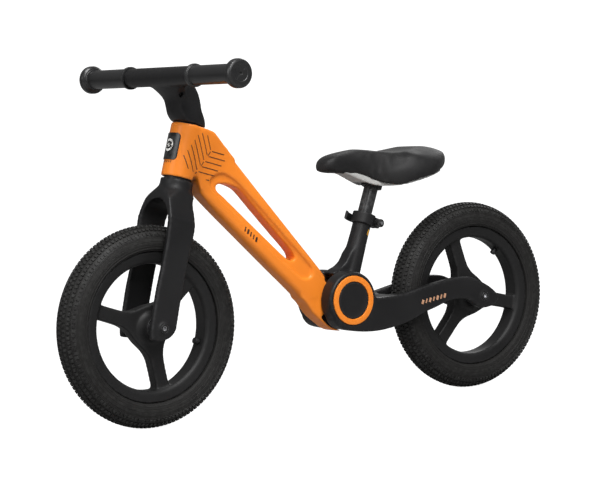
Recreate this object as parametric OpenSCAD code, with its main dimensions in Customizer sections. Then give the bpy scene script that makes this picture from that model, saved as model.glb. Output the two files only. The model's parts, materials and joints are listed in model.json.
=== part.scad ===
// Folding balance bike.
// Millimetres. Origin on the ground midway between the axles, +X forward, +Y rider's left, +Z up.

/* [Overall] */
// distance between the two axles
wheelbase = 605; // [540:5:700]
// outside diameter of both tyres
tyre_d = 297; // [260:1:330]
// handlebar length from end face to end face
bar_length = 408; // [340:2:480]
// saddle length, nose to tail
saddle_l = 226; // [190:1:260]
// saddle width at its widest
saddle_w = 140; // [110:1:170]

/* [Wheels] */
// tyre section width
tyre_w = 47; // [38:1:56]
// radial height of the tyre, bead seat to crown
tyre_h = 47; // [40:1:56]
// rim width over the flanges
rim_w = 36; // [30:1:42]
// radial depth of the rim channel below its flange
rim_depth = 18.5; // [14:0.5:24]
// number of wide spokes in each wheel
spoke_count = 3; // [3:1:6]
// spoke width halfway out
spoke_w = 25; // [18:1:32]
// wheel axle tube diameter
axle_d = 12; // [10:0.5:15]
// wheel bearing outside diameter
bearing_d = 28; // [24:0.5:32]
// wheel bearing width
bearing_w = 8; // [6:0.5:10]

/* [Steering] */
// head angle back from upright, degrees
head_tilt = 16.2; // [12:0.1:22]
// head tube length
head_l = 81; // [65:1:110]
// head tube outside diameter
head_d = 50; // [44:1:58]
// steerer tube diameter
steerer_d = 28.6; // [25.4:0.1:30]
// gap from tyre to the underside of the fork crown
crown_gap = 38; // [20:1:50]
// bar axis ahead of the steering axis
bar_reach = 61; // [30:1:80]
// bar axis above the top of the head tube
bar_rise = 57; // [45:1:90]
// handlebar tube diameter
bar_d = 22.2; // [19:0.1:25.4]
// fork leg thickness across the bike
leg_t = 8.5; // [7:0.5:14]

/* [Front frame] */
// thickness of the front frame beam
beam_t = 34; // [26:1:40]
// rounding of the beam's long edges
beam_round = 10; // [4:1:14]

/* [Fold hub] */
// drum diameter of the fold hub
drum_d = 88; // [78:1:100]
// overall width of the fold hub
hub_w = 90; // [80:1:104]
// fold button diameter
button_d = 57; // [44:1:62]
// pivot tube diameter
pivot_d = 16; // [12:1:20]

/* [Rear frame and seat] */
// seat tube angle back from upright, degrees
seat_tilt = 20.2; // [14:0.1:26]
// seat tube length above the drum
seat_tube_l = 74; // [60:1:100]
// seat tube outside diameter
seat_tube_d = 29; // [28:0.5:34]
// seat post diameter
post_d = 22.2; // [20:0.1:25]
// height of the saddle top above the seat tube top, measured straight up
saddle_rise = 105; // [95:1:130]
// rear arm thickness across the bike
arm_t = 14; // [12:0.5:18]

/* [Hidden] */
$fn = 96;
axle_z = tyre_d / 2;
front_x = wheelbase / 2;
rear_x = -wheelbase / 2;
tyre_r = tyre_d / 2;
side_gap = 5;
run = 0.05;
eps = 0.01;

// wheel
bead_r = tyre_r - tyre_h;
flange_r = bead_r + 9.4;
rim_in_r = flange_r - rim_depth;
wheel_hub_r = bearing_d / 2 + 9;
wheel_hub_w = tyre_w + 9;
spoke_t = 20;
tread_h = 1.8;
carcass_r = tyre_w / 2;
carcass_c = tyre_r - tread_h - carcass_r;
tube_r = carcass_r - 7;
tube_c = carcass_c + carcass_r - 3.2 - tube_r;
spoke_front_phase = 18.7;
spoke_rear_phase = 72;

// fork and head, measured along the steering axis from the front axle
leg_in = tyre_w / 2 + side_gap + 8;
leg_out = leg_in + leg_t;
arch_s = tyre_r + crown_gap;
head_s0 = arch_s + 35;
head_s1 = head_s0 + head_l;
bar_s = head_s1 + bar_rise;
steerer_top = head_s1 + 10;
head_bore_r = steerer_d / 2 + 2.2;
cup_r = steerer_d / 2 + 6.7;
cup_h = 12;

// fold hub
hub_x = -41.7 * wheelbase / 605;
hub_z = axle_z + 13.5;
drum_r = drum_d / 2;
cheek_in = beam_t / 2 + 1;
cheek_out = hub_w / 2;
cup_in_r = drum_r + 2;
barrel_r = pivot_d / 2 + 14;
wall_in = cheek_in + 10;
wall_out = wall_in + 6;
button_r = button_d / 2 - 0.1;
ring_r = button_d / 2 + 9;
plate_r = pivot_d / 2 + 14;

// beam frame: u runs from the hub centre to the head tube's middle, v is up and back from it
head_c = [front_x - sin(head_tilt) * (head_s0 + head_s1) / 2, axle_z + cos(head_tilt) * (head_s0 + head_s1) / 2];
beam_v = head_c - [hub_x, hub_z];
beam_l = norm(beam_v);
beam_dir = beam_v / beam_l;
beam_perp = [-beam_dir[1], beam_dir[0]];
beam_ref = 361;
beam_end = 60;

// seat tube, measured from its root at the drum
seat_root = [hub_x - 12.9 - sin(seat_tilt) * 57.6, hub_z + cos(seat_tilt) * 57.6];
shim_r = post_d / 2 + 1.6;
saddle_top = seat_root[1] + cos(seat_tilt) * seat_tube_l + saddle_rise;
ceiling = -44;
post_top = (saddle_top + ceiling - 1 - seat_root[1] - post_d / 2 * sin(seat_tilt)) / cos(seat_tilt);
saddle_x = seat_root[0] - sin(seat_tilt) * (post_top + 10);

// rear arms
arm_in = max(tyre_w / 2 + 6.5, cheek_in + 12);
arm_out = arm_in + arm_t;

// ---------- helpers ----------

// one span of a smooth curve through p1 and p2
function span_point(p0, p1, p2, p3, t) =
  0.5 * (2 * p1 + (p2 - p0) * t + (2 * p0 - 5 * p1 + 4 * p2 - p3) * t * t + (3 * p1 - p0 - 3 * p2 + p3) * t * t * t);

// open smooth curve through all the points
function smooth(p, n = 5) = [
  for (i = [0 : len(p) - 2])
    for (k = [0 : n - 1])
      span_point(p[max(i - 1, 0)], p[i], p[i + 1], p[min(i + 2, len(p) - 1)], k / n),
  p[len(p) - 1]
];

// closed smooth curve through all the points
function smooth_loop(p, n = 5) = [
  for (i = [0 : len(p) - 1])
    for (k = [0 : n - 1])
      span_point(p[(i + len(p) - 1) % len(p)], p[i], p[(i + 1) % len(p)], p[(i + 2) % len(p)], k / n)
];

function arc(c, r, a0, a1, n = 16) = [for (i = [0 : n]) c + r * [cos(a0 + (a1 - a0) * i / n), sin(a0 + (a1 - a0) * i / n)]];

// stretches the middle of the beam so both ends keep their shape
function beam_u(u) =
  u < beam_end ? u
  : u > beam_ref - beam_end ? beam_l - (beam_ref - u)
  : beam_end + (u - beam_end) * (beam_l - 2 * beam_end) / (beam_ref - 2 * beam_end);

// plan of the beam where it swells to the head tube: u against half thickness
neck_flare = smooth([[288, beam_t / 2 - 0.7], [304, beam_t / 2 + 0.5], [322, beam_t / 2 + 2.4],
  [341, head_d / 2 - 2.6], [beam_ref, head_d / 2 - 0.5]], 6);
neck_side = [[292, 4], [290, 22], [286, 60], [430, 60], [430, -60], [326, -60], [311, -33], [299, -18]];

function beam_pt(p) = [hub_x, hub_z] + beam_u(p[0]) * beam_dir + p[1] * beam_perp;

// side outline drawn in X and Z, made solid from y0 to y1
module slab(y0, y1) {
  translate([0, y1, 0])
    rotate([90, 0, 0])
      linear_extrude(y1 - y0)
        children();
}

module ycyl(c, r, y0, y1) {
  translate([c[0], y1, c[1]])
    rotate([90, 0, 0])
      cylinder(r = r, h = y1 - y0);
}

// a disc standing on its face, with a rounded upper rim
module eased_disc(r, h, ease) {
  rotate_extrude()
    polygon(concat([[0, 0], [r, 0]], arc([r - ease, h - ease], ease, 0, 90, 8), [[0, h]]));
}

module both_sides() {
  children();
  mirror([0, 1, 0])
    children();
}

module steer_frame() {
  translate([front_x, 0, axle_z])
    rotate([0, -head_tilt, 0])
      children();
}

module seat_frame() {
  translate([seat_root[0], 0, seat_root[1]])
    rotate([0, -seat_tilt, 0])
      children();
}

// ---------- wheels ----------

module tyre_at(x) {
  color([0.13, 0.13, 0.13])
    translate([x, 0, axle_z])
      rotate([90, 0, 0])
        rotate_extrude($fn = 144)
          difference() {
            union() {
              intersection() {
                translate([carcass_c, 0])
                  circle(r = carcass_r, $fn = 64);
                translate([flange_r + 0.3, -tyre_w])
                  square([tyre_w, 2 * tyre_w]);
              }
              translate([bead_r, -rim_w / 2 + 3.2])
                square([18, rim_w - 6.4]);
              for (a = [-54 : 18 : 54])
                translate([carcass_c, 0])
                  rotate(a)
                    translate([carcass_r - 2, -2.6])
                      square([2 + tread_h, 5.2]);
            }
            intersection() {
              translate([carcass_c, 0])
                circle(r = carcass_r - 3, $fn = 64);
              translate([flange_r + 3, -tyre_w])
                square([tyre_w, 2 * tyre_w]);
            }
            translate([bead_r - 1, -rim_w / 2 + 7])
              square([20, rim_w - 14]);
          }
}

module inner_tube_at(x) {
  color([0.2, 0.2, 0.2])
    translate([x, 0, axle_z])
      rotate([90, 0, 0])
        rotate_extrude($fn = 144)
          translate([tube_c, 0])
            difference() {
              circle(r = tube_r, $fn = 48);
              circle(r = tube_r - 1.3, $fn = 48);
            }
}

module spoke_shape() {
  r1 = rim_in_r + 2;
  half = spoke_w / 2 - 1.75;
  edge = smooth([[14, half + 18.1], [18, half + 15.7], [24, half + 11.7], [32, half + 6.3], [42, half + 2],
    [54, half + 0.2], [r1 - 9, half], [r1 - 3, half + 1.6], [r1, half + 6]], 6);
  polygon(concat(edge, [for (i = [len(edge) - 1 : -1 : 0]) [edge[i][0], -edge[i][1]]]));
}

// the hub's barrel, domed down to the bearing at each end
module wheel_hub() {
  w = wheel_hub_w / 2;
  end_r = bearing_d / 2 + 2.6;
  half = concat([[0, w], [end_r - 1, w], [end_r, w - 1]],
    smooth([[end_r + 0.5, w - 8], [end_r + 3, w - 14], [wheel_hub_r + 5, spoke_t / 2 - 3]], 5), [[wheel_hub_r + 5, 0]]);
  rotate_extrude()
    polygon(concat(half, [for (i = [len(half) - 2 : -1 : 0]) [half[i][0], -half[i][1]]]));
}

module rim_at(x, phase, gap) {
  color([0.1, 0.1, 0.1])
    translate([x, 0, axle_z])
      rotate([90, 0, 0])
        difference() {
          union() {
            rotate_extrude($fn = 144)
              polygon([
                [rim_in_r, -12], [rim_in_r + 4, -rim_w / 2 + 2], [flange_r, -rim_w / 2], [flange_r, -rim_w / 2 + 3],
                [bead_r, -rim_w / 2 + 3.1], [bead_r, -8], [bead_r - 4, -6], [bead_r - 4, 6], [bead_r, 8],
                [bead_r, rim_w / 2 - 3.1], [flange_r, rim_w / 2 - 3], [flange_r, rim_w / 2],
                [rim_in_r + 4, rim_w / 2 - 2], [rim_in_r, 12]
              ]);
            wheel_hub();
            for (i = [0 : spoke_count - 1])
              rotate(phase + i * 360 / spoke_count)
                translate([0, 0, -spoke_t / 2])
                  linear_extrude(spoke_t)
                    spoke_shape();
          }
          cylinder(r = axle_d / 2 + 3, h = wheel_hub_w + 1, center = true);
          for (s = [0, 1])
            mirror([0, 0, s])
              translate([0, 0, wheel_hub_w / 2 - bearing_w])
                cylinder(r = bearing_d / 2, h = bearing_w + 1);
          rotate(phase + valve_turn(gap))
            rotate([0, 90, 0])
              translate([0, 0, rim_in_r - 4])
                cylinder(r = 3.3, h = 20);
        }
}

// the valve sits in the middle of one of the gaps between spokes
function valve_turn(gap) = (gap + 0.5) * 360 / spoke_count;

module valve_at(x, phase, gap) {
  color([0.12, 0.12, 0.12])
    translate([x, 0, axle_z])
      rotate([90, 0, 0])
        rotate(phase + valve_turn(gap))
          rotate([0, 90, 0]) {
            translate([0, 0, rim_in_r - 3])
              cylinder(r = 3.2, h = tube_c - tube_r - 0.2 - rim_in_r + 3);
            translate([0, 0, rim_in_r - 8])
              cylinder(r = 4.4, h = 7.4);
          }
}

module wheel_bearings_at(x) {
  color([0.6, 0.6, 0.62])
    for (y = [-wheel_hub_w / 2, wheel_hub_w / 2 - bearing_w])
      difference() {
        ycyl([x, axle_z], bearing_d / 2, y, y + bearing_w);
        ycyl([x, axle_z], axle_d / 2 + run, y - 1, y + bearing_w + 1);
        for (s = [y - 1, y + bearing_w - 0.5])
          difference() {
            ycyl([x, axle_z], bearing_d / 2 - 2.5, s, s + 1.5);
            ycyl([x, axle_z], axle_d / 2 + 2.5, s - 1, s + 2);
          }
      }
}

// ---------- axle hardware ----------

axle_bolt_r = axle_d / 2 - 2;
head_r = axle_bolt_r + 2.5;
head_h = 5;
boss_r = head_r + 1.7;
boss_up = 3.3;

module axle_at(x, inner) {
  color([0.72, 0.73, 0.75])
    difference() {
      ycyl([x, axle_z], axle_d / 2, -inner, inner);
      ycyl([x, axle_z], axle_bolt_r, -inner - 1, inner + 1);
    }
}

module axle_spacers_at(x, inner) {
  color([0.15, 0.15, 0.15])
    both_sides()
      difference() {
        ycyl([x, axle_z], axle_d / 2 + 3, wheel_hub_w / 2 + 0.3, inner);
        ycyl([x, axle_z], axle_d / 2, wheel_hub_w / 2 - 1, inner + 1);
      }
}

module axle_bolts_at(x, outer) {
  face = outer + boss_up - 0.6;
  color([0.8, 0.8, 0.82])
    both_sides()
      difference() {
        union() {
          ycyl([x, axle_z], axle_bolt_r, 6, face - head_h + 1);
          ycyl([x, axle_z], head_r, face - head_h, face);
        }
        translate([x, face + 1, axle_z])
          rotate([90, 0, 0])
            cylinder(r = 2.9, h = 4, $fn = 6);
      }
}

// hole for a bolt shank and a seat for its head, cut through a dropout
module bolt_seat(x, inner, outer) {
  ycyl([x, axle_z], axle_bolt_r, inner - 1, outer + 1);
  ycyl([x, axle_z], head_r, outer + boss_up - 0.6 - head_h, outer + boss_up + 1);
}

// ---------- steering ----------

// side outline of a fork leg and the crown, forward and along the steering axis
leg_front = [[16, -21], [19.5, -6], [21.6, 26], [23, 54], [22.8, arch_s - 100], [24, arch_s - 60], [26.4, arch_s - 32],
  [28, arch_s - 10], [28, arch_s + 8], [26, head_s0 - 14], [24.6, head_s0 - 2.2]];
leg_back = [[-24.6, head_s0 - 2.2], [-24, head_s0 - 14], [-16, arch_s + 4], [-17, arch_s - 17], [-19.5, arch_s - 40],
  [-19, arch_s - 63], [-18.4, arch_s - 100], [-20, 39], [-21.5, 12], [-21.5, 1], [-14.6, -11], [-2, -19]];

module fork_side() {
  polygon(concat(smooth(leg_front), smooth(leg_back)));
}

// front outline of the fork, an inverted U
module fork_front() {
  shoulder = smooth([[leg_out, -30], [leg_out + 1.2, 60], [leg_out + 0.8, arch_s - 40], [leg_out - 2, arch_s - 22],
    [leg_out - 12, arch_s], [head_d / 2 + 1, arch_s + 18], [head_d / 2 - 0.4, head_s0 - 2.2]], 6);
  difference() {
    polygon(concat(shoulder, [for (i = [len(shoulder) - 1 : -1 : 0]) [-shoulder[i][0], shoulder[i][1]]]));
    translate([-leg_in, -40])
      square([2 * leg_in, arch_s - leg_in + 40]);
    translate([0, arch_s - leg_in])
      circle(r = leg_in);
  }
}

module fork() {
  color([0.12, 0.12, 0.12])
    steer_frame()
      difference() {
        union() {
          intersection() {
            slab(-leg_out - 5, leg_out + 5)
              fork_side();
            translate([-60, 0, 0])
              rotate([90, 0, 90])
                linear_extrude(120)
                  fork_front();
            // the crown narrows to the head tube's round
            rotate_extrude()
              polygon(concat(
                [[0, -60], [leg_out + 40, -60], [leg_out + 40, arch_s - 60]],
                smooth([[leg_out + 10, arch_s - 30], [leg_out, arch_s - 4], [head_d / 2 + 6, arch_s + 12],
                  [head_d / 2 - 0.4, arch_s + 21], [head_d / 2 - 0.4, head_s0]], 5),
                [[0, head_s0]]));
          }
          translate([0, 0, head_s0 - 20])
            cylinder(r = steerer_d / 2, h = steerer_top - head_s0 + 20);
          rotate([0, 0, 180])
            translate([cup_r + 0.4, -2.4, head_s0 - 8])
              cube([head_d / 2 - cup_r - 0.8, 4.8, 12.6]);
          both_sides()
            ycyl([0, 0], boss_r, leg_out - 3, leg_out + boss_up);
        }
        translate([0, 0, head_s0 - 4])
          cylinder(r = steerer_d / 2 - 2.5, h = head_l + 80);
        both_sides() {
          ycyl([0, 0], axle_bolt_r, leg_in - 1, leg_out + 9);
          ycyl([0, 0], head_r, leg_out + boss_up - 0.6 - head_h, leg_out + boss_up + 1);
        }
      }
}

module crown_race() {
  color([0.6, 0.6, 0.62])
    steer_frame()
      translate([0, 0, head_s0 - 2.2])
        difference() {
          cylinder(r = cup_r - 1.5, h = 1.8);
          translate([0, 0, -1])
            cylinder(r = steerer_d / 2, h = 4);
        }
}

module headset_bearing(s) {
  color([0.45, 0.45, 0.47])
    steer_frame()
      translate([0, 0, s])
        difference() {
          cylinder(r = cup_r, h = cup_h);
          translate([0, 0, -1])
            cylinder(r = steerer_d / 2 + run, h = cup_h + 2);
        }
}

stem_s0 = head_s1 + 1;
sleeve_r = bar_d / 2 + 3.1;
sleeve_y = 84;

module stem() {
  side_front = smooth([[25, stem_s0], [34, stem_s0 + 7], [44, stem_s0 + 20], [bar_reach - 8, bar_s - 20],
    [bar_reach + 4, bar_s - 13]], 6);
  side_back = smooth([[bar_reach - 4, bar_s + 13], [bar_reach - 24, bar_s + 8.5], [16, bar_s - 3], [3, bar_s - 17],
    [-6, stem_s0 + 22], [-17, stem_s0 + 10], [-24.6, stem_s0]], 6);
  wing = smooth([[head_d / 2 - 0.4, stem_s0 - 1], [22, stem_s0 + 12], [21.5, bar_s - 34], [24, bar_s - 25],
    [31, bar_s - 17], [42, bar_s - 12.5], [54, bar_s - 11]], 6);
  spread = smooth([[-26, 4], [-22, 12], [-13, 18.5], [0, 21.5], [14, 23], [28, 26.5], [bar_reach - 21, 36], [bar_reach - 13, 54]], 6);
  color([0.12, 0.12, 0.12])
    steer_frame()
      difference() {
        union() {
          intersection() {
            slab(-70, 70)
              polygon(concat(side_front, side_back));
            translate([-60, 0, 0])
              rotate([90, 0, 90])
                linear_extrude(200)
                  polygon(concat(
                    wing, [[54, bar_s + 20], [-54, bar_s + 20]],
                    [for (i = [len(wing) - 1 : -1 : 0]) [-wing[i][0], wing[i][1]]]));
            translate([0, 0, stem_s0 - 1])
              linear_extrude(bar_rise + 40)
                polygon(concat(
                  spread, [[bar_reach + 20, 54], [bar_reach + 20, -54]],
                  [for (i = [len(spread) - 1 : -1 : 0]) [spread[i][0], -spread[i][1]]]));
            // the foot is round, to match the head tube
            rotate_extrude()
              polygon(concat([[0, stem_s0 - 1]],
                smooth([[head_d / 2, stem_s0 - 1], [head_d / 2 + 4, stem_s0 + 3], [head_d / 2 + 9, stem_s0 + 9],
                  [head_d / 2 + 13, stem_s0 + 18], [head_d / 2 + 20, stem_s0 + 30], [head_d / 2 + 40, stem_s0 + 44]], 5),
                [[150, stem_s0 + 70], [0, stem_s0 + 90]]));
          }
          ycyl([bar_reach, bar_s], sleeve_r, -sleeve_y, sleeve_y);
        }
        ycyl([bar_reach, bar_s], bar_d / 2, -sleeve_y - 1, sleeve_y + 1);
        translate([0, 0, stem_s0 - 1])
          cylinder(r = steerer_d / 2, h = steerer_top - stem_s0 + 1);
        ycyl([stem_bolt_x, stem_bolt_s], 2, -40, 40);
        both_sides()
          ycyl([stem_bolt_x, stem_bolt_s], 3.4, 16, 60);
      }
}

stem_bolt_x = bar_reach - 23;
stem_bolt_s = bar_s - 21;

module stem_bolt() {
  color([0.5, 0.5, 0.52])
    steer_frame()
      difference() {
        union() {
          ycyl([stem_bolt_x, stem_bolt_s], 2, -18, 18);
          both_sides()
            ycyl([stem_bolt_x, stem_bolt_s], 3.3, 16, 19.5);
        }
        both_sides()
          translate([stem_bolt_x, 20, stem_bolt_s])
            rotate([90, 0, 0])
              cylinder(r = 1.8, h = 2.6, $fn = 6);
      }
}

module handlebar_tube() {
  tube_y = bar_length / 2 - 4;
  color([0.3, 0.3, 0.31])
    steer_frame()
      difference() {
        ycyl([bar_reach, bar_s], bar_d / 2, -tube_y, tube_y);
        ycyl([bar_reach, bar_s], bar_d / 2 - 1.5, -tube_y - 1, tube_y + 1);
      }
}

module grip() {
  grip_y0 = sleeve_y + 0.5;
  knob_y = bar_length / 2 - 14;
  color([0.1, 0.1, 0.1])
    steer_frame()
      translate([bar_reach, 0, bar_s])
        rotate([-90, 0, 0])
          difference() {
            union() {
              translate([0, 0, grip_y0])
                cylinder(r = bar_d / 2 + 5.9, h = 5);
              translate([0, 0, grip_y0 + 2])
                cylinder(r = sleeve_r, h = knob_y - grip_y0);
              translate([0, 0, knob_y])
                rotate_extrude()
                  union() {
                    translate([0, 0])
                      square([17, 14]);
                    translate([0, 4])
                      square([21, 6]);
                    translate([17, 4])
                      circle(r = 4, $fn = 32);
                    translate([17, 10])
                      circle(r = 4, $fn = 32);
                  }
            }
            translate([0, 0, grip_y0 - 1])
              cylinder(r = bar_d / 2, h = bar_length / 2 - 4 - grip_y0 + 1);
            translate([0, 0, bar_length / 2 - 1.5])
              cylinder(r = 2.5, h = 3);
          }
}

module grip_left() {
  grip();
}

module grip_right() {
  mirror([0, 1, 0])
    grip();
}

// ---------- front frame ----------

beam_top = [[49, 8], [73, 14], [131, 21], [179, 27.3], [229, 33.7], [271, 40], [297, 44.5], [322, 46.8], [336, 48.2],
  [347, 48.9], [358, 44.9], [368, 40.2]];
beam_low = [[305, -34], [264, -37.7], [207, -39.5], [148, -41.5], [92, -42], [62, -43.5]];
beam_foot = [[70, -30], [64, -43.2], [50, -44.8], [34, -48.4], [20, -49.6], [6, -48.8], [-8, -48], [-19, -45.2],
  [-28.6, -39.4]];
window_pts = [[305.5, -6], [301.8, 4.3], [291.8, 14.2], [268, 18.8], [245, 18.2], [216.6, 16], [186.8, 13.3],
  [156.8, 10.5], [126.5, 7.8], [101.8, 5.7], [79, 3.2], [69.5, -5], [71.3, -14.2], [80, -20.3], [94, -22],
  [122, -21.5], [165, -20.5], [215, -19.5], [270, -18], [293, -16.5], [302, -13]];
through_pts = [[290, -7], [286, -0.5], [276, 7], [262, 12.5], [247, 14.4], [209, 10.3], [157, 5], [122, 1.4],
  [109, -4], [112, -10.6], [125, -13.4], [160, -13.4], [210, -12.8], [266, -11.8], [284, -12]];
recess_d = 4;

// a half-plane bounded by one straight edge of the beam, with its two corners rounded
module edge_prism(a, b, flip, half = beam_t / 2, ease = beam_round) {
  p = beam_pt(a);
  q = beam_pt(b);
  d = q - p;
  translate([p[0], 0, p[1]])
    rotate([0, -atan2(d[1], d[0]), 0])
      mirror([0, 0, flip])
        translate([-200, 0, 0])
          rotate([90, 0, 90])
            linear_extrude(norm(d) + 500)
              union() {
                translate([-half, ease])
                  square([2 * half, 400]);
                translate([-half + ease, 0])
                  square([2 * half - 2 * ease, 20]);
                translate([half - ease, ease])
                  circle(r = ease, $fn = 48);
                translate([-half + ease, ease])
                  circle(r = ease, $fn = 48);
              }
}

module beam_frame() {
  translate([hub_x, 0, hub_z])
    rotate([0, -atan2(beam_dir[1], beam_dir[0]), 0])
      children();
}

function hub_angle(p) = atan2((beam_pt(p) - [hub_x, hub_z])[1], (beam_pt(p) - [hub_x, hub_z])[0]);

module beam_outline() {
  top = smooth([for (p = beam_top) beam_pt(p)]);
  low = smooth([for (p = beam_low) beam_pt(p)]);
  polygon(concat(top, [head_c], low, arc([hub_x, hub_z], cup_in_r, hub_angle([62, -43.5]), hub_angle([49, 8]), 24)));
}

// the foot of the beam, which curls under the drum
module beam_foot_outline() {
  foot = smooth([for (p = beam_foot) beam_pt(p)]);
  last = beam_foot[len(beam_foot) - 1];
  polygon(concat(foot, arc([hub_x, hub_z], cup_in_r + 0.4, hub_angle(last), hub_angle([70, -30]), 24)));
}

module neck() {
  intersection() {
    slab(-head_d / 2, head_d / 2)
      beam_outline();
    beam_frame()
      translate([0, 0, -120])
        linear_extrude(240)
          polygon(concat(
            [for (q = neck_flare) [beam_u(q[0]), q[1]]], [[beam_l + 40, head_d / 2 - 0.5]],
            [[beam_l + 40, -head_d / 2 + 0.5]],
            [for (i = [len(neck_flare) - 1 : -1 : 0]) [beam_u(neck_flare[i][0]), -neck_flare[i][1]]]));
    slab(-head_d, head_d)
      polygon([for (p = neck_side) beam_pt(p)]);
    edge_prism([73, 14.5], [322, 47.6], 1, head_d / 2 - 0.5, 7);
  }
}

module front_frame() {
  head_axis = [head_c[0], 0, head_c[1]];
  neck_a = -29;
  neck_b = 44;
  color([0.96, 0.55, 0.2])
    difference() {
      union() {
        intersection() {
          slab(-beam_t / 2, beam_t / 2)
            beam_outline();
          edge_prism([60, -44], [264, -38.2], 0);
          edge_prism([73, 14.5], [322, 47.6], 1);
        }
        steer_frame()
          translate([0, 0, head_s0])
            eased_disc(head_d / 2, head_l, 2.5);
        neck();
        slab(-beam_t / 2 + 0.8, beam_t / 2 - 0.8)
          beam_foot_outline();
        // the tongue that runs in between the cheeks
        ycyl([hub_x, hub_z], barrel_r, -beam_t / 2, beam_t / 2);
        slab(-beam_t / 2, beam_t / 2)
          polygon(concat([[hub_x, hub_z]], arc([hub_x, hub_z], cup_in_r + 1.5, neck_a, neck_b, 16)));
      }
      slab(-60, 60)
        polygon([for (p = smooth_loop(through_pts)) beam_pt(p)]);
      both_sides()
        slab(beam_t / 2 - recess_d, 60)
          polygon([for (p = smooth_loop(window_pts)) beam_pt(p)]);
      ycyl([hub_x, hub_z], pivot_d / 2 + 2, -60, 60);
      steer_frame() {
        translate([0, 0, head_s0 - 1])
          cylinder(r = head_bore_r, h = head_l + 60);
        translate([0, 0, head_s0 - 1])
          cylinder(r = cup_r, h = cup_h + 1);
        translate([0, 0, head_s1 - cup_h])
          cylinder(r = cup_r, h = cup_h + 60);
        translate([0, 0, head_s1])
          cylinder(r = head_d, h = 40);
        // notch that limits the steering
        intersection() {
          translate([0, 0, head_s0 - 1])
            cylinder(r = head_d / 2 + 0.6, h = 7);
          translate([0, 0, head_s0 - 2])
            linear_extrude(10)
              polygon([[0, 0], [-80, 110], [-80, -110]]);
          difference() {
            translate([0, 0, head_s0 - 2])
              cylinder(r = head_d, h = 10);
            translate([0, 0, head_s0 - 3])
              cylinder(r = cup_r - 0.5, h = 12);
          }
        }
      }
    }
}

module pivot_bush() {
  color([0.85, 0.85, 0.82])
    difference() {
      ycyl([hub_x, hub_z], pivot_d / 2 + 2, -beam_t / 2, beam_t / 2);
      ycyl([hub_x, hub_z], pivot_d / 2 + run, -60, 60);
    }
}

module head_badge() {
  badge_w = 33;
  badge_h = 40;
  color([0.08, 0.08, 0.08])
    steer_frame()
      intersection() {
        difference() {
          translate([0, 0, head_s0])
            cylinder(r = head_d / 2 + 1.2, h = head_l);
          translate([0, 0, head_s0 - 1])
            cylinder(r = head_d / 2, h = head_l + 2);
        }
        translate([0, 0, (head_s0 + head_s1) / 2 + 3])
          rotate([90, 0, 90])
            linear_extrude(60) {
              square([badge_w - 10, badge_h], center = true);
              square([badge_w, badge_h - 10], center = true);
              for (sx = [-1, 1])
                for (sy = [-1, 1])
                  translate([sx * (badge_w / 2 - 5), sy * (badge_h / 2 - 5)])
                    circle(r = 5, $fn = 32);
            }
      }
}

// ---------- rear frame ----------

// a runs back from the hub towards the rear axle, b is up from the line between them
arm_ref = 260.8;
arm_run = hub_x - rear_x;
arm_end = 70;

function arm_a(a) =
  a < arm_end ? a
  : a > arm_ref - arm_end ? arm_run - (arm_ref - a)
  : arm_end + (a - arm_end) * (arm_run - 2 * arm_end) / (arm_ref - 2 * arm_end);

function arm_pt(p) = [hub_x - arm_a(p[0]), hub_z + p[1] + (axle_z - hub_z) * arm_a(p[0]) / arm_run];

arm_top = [[20, 30], [34, 12], [42, 4.5], [52, 3.4], [77, 5], [103, 8.4], [141, 18], [185, 27.4], [212, 31],
  [236, 30.4], [254, 24.3], [272, 16], [287, 5.5], [293, -2]];
arm_low = [[290, -9], [279, -15.8], [264, -19], [249, -17.5], [238, -10.5], [224, -4.5], [206, -3.5], [190, -6],
  [163, -15.6], [139, -23.5], [109, -36], [72, -45.2], [40, -49.3], [4, -48], [-24, -42], [-36, -30]];

module arm_outline() {
  polygon(concat(smooth([for (p = arm_top) arm_pt(p)]), smooth([for (p = arm_low) arm_pt(p)]), [[hub_x, hub_z]]));
}

module hub_web() {
  polygon(concat(arc([hub_x, hub_z], drum_r - 0.6, 80, 226, 24), arc([hub_x, hub_z], barrel_r, 226, 80, 16)));
}

bridge_a = 72;
bridge_b = 96;

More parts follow.
